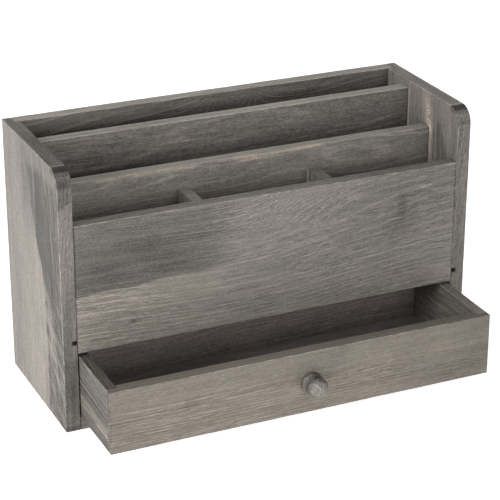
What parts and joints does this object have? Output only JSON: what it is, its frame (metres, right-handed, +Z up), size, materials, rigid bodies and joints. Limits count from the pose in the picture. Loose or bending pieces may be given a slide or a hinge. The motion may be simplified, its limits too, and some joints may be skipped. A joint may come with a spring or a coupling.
{
  "type": "desk organizer",
  "caption": "Rustic grey-stained pine desktop mail sorter: upright slots in stepped rows, the front row partitioned, over a wide sliding drawer with a turned wooden knob.",
  "frame": {"origin": "centre of the case's footprint, on the underside of the bottom board", "axes": "+X along the case to the right as seen from its front, +Y towards the back panel, +Z up; the front faces -Y"},
  "size_m": [0.33, 0.1995, 0.203],
  "materials": {
    "side_pine": "grey-stained pine, vertical grain, matt",
    "case_pine": "grey-stained pine, horizontal grain, matt",
    "front_pine": "grey-stained pine, horizontal grain with pale growth rings, matt",
    "drawer_front_pine": "grey-stained pine, horizontal grain, slightly warmer, matt",
    "drawer_pine": "grey-stained pine, matt",
    "plywood": "thin grey-stained plywood, matt",
    "knob_pine": "turned grey-stained pine, matt",
    "dowel_beech": "bare beech",
    "brad_steel": "bright drawn steel",
    "screw_zinc": "zinc plated"
  },
  "bodies": {
    "case": {"left_side_panel": "side_pine", "right_side_panel": "side_pine", "back_panel": "case_pine", "rear_divider": "case_pine", "middle_divider": "case_pine", "front_panel": "front_pine", "left_partition": "case_pine", "right_partition": "case_pine", "compartment_floor": "plywood", "bottom_board": "case_pine", "front_panel_left_dowel_1": "dowel_beech", "front_panel_left_dowel_2": "dowel_beech", "front_panel_right_dowel_1": "dowel_beech", "front_panel_right_dowel_2": "dowel_beech", "middle_divider_left_dowel_1": "dowel_beech", "middle_divider_left_dowel_2": "dowel_beech", "middle_divider_right_dowel_1": "dowel_beech", "middle_divider_right_dowel_2": "dowel_beech", "rear_divider_left_dowel_1": "dowel_beech", "rear_divider_left_dowel_2": "dowel_beech", "rear_divider_right_dowel_1": "dowel_beech", "rear_divider_right_dowel_2": "dowel_beech", "bottom_board_left_dowel_1": "dowel_beech", "bottom_board_left_dowel_2": "dowel_beech", "bottom_board_right_dowel_1": "dowel_beech", "bottom_board_right_dowel_2": "dowel_beech", "back_brad_left_1": "brad_steel", "back_brad_left_2": "brad_steel", "back_brad_left_3": "brad_steel", "back_brad_right_1": "brad_steel", "back_brad_right_2": "brad_steel", "back_brad_right_3": "brad_steel", "back_brad_low_1": "brad_steel", "back_brad_low_2": "brad_steel", "back_brad_low_3": "brad_steel"},
    "drawer": {"drawer_front": "drawer_front_pine", "drawer_left_side": "drawer_pine", "drawer_right_side": "drawer_pine", "drawer_back": "drawer_pine", "drawer_bottom": "plywood", "knob": "knob_pine", "knob_screw": "screw_zinc", "drawer_front_left_brad_1": "brad_steel", "drawer_front_left_brad_2": "brad_steel", "drawer_front_right_brad_1": "brad_steel", "drawer_front_right_brad_2": "brad_steel", "drawer_rear_left_brad_1": "brad_steel", "drawer_rear_left_brad_2": "brad_steel", "drawer_rear_right_brad_1": "brad_steel", "drawer_rear_right_brad_2": "brad_steel"}
  },
  "joints": [
    {"name": "drawer_slide", "type": "slide", "parent": "case", "child": "drawer", "axis": [0, -1, 0], "range_m": [-0.061, 0.025]}
  ]
}
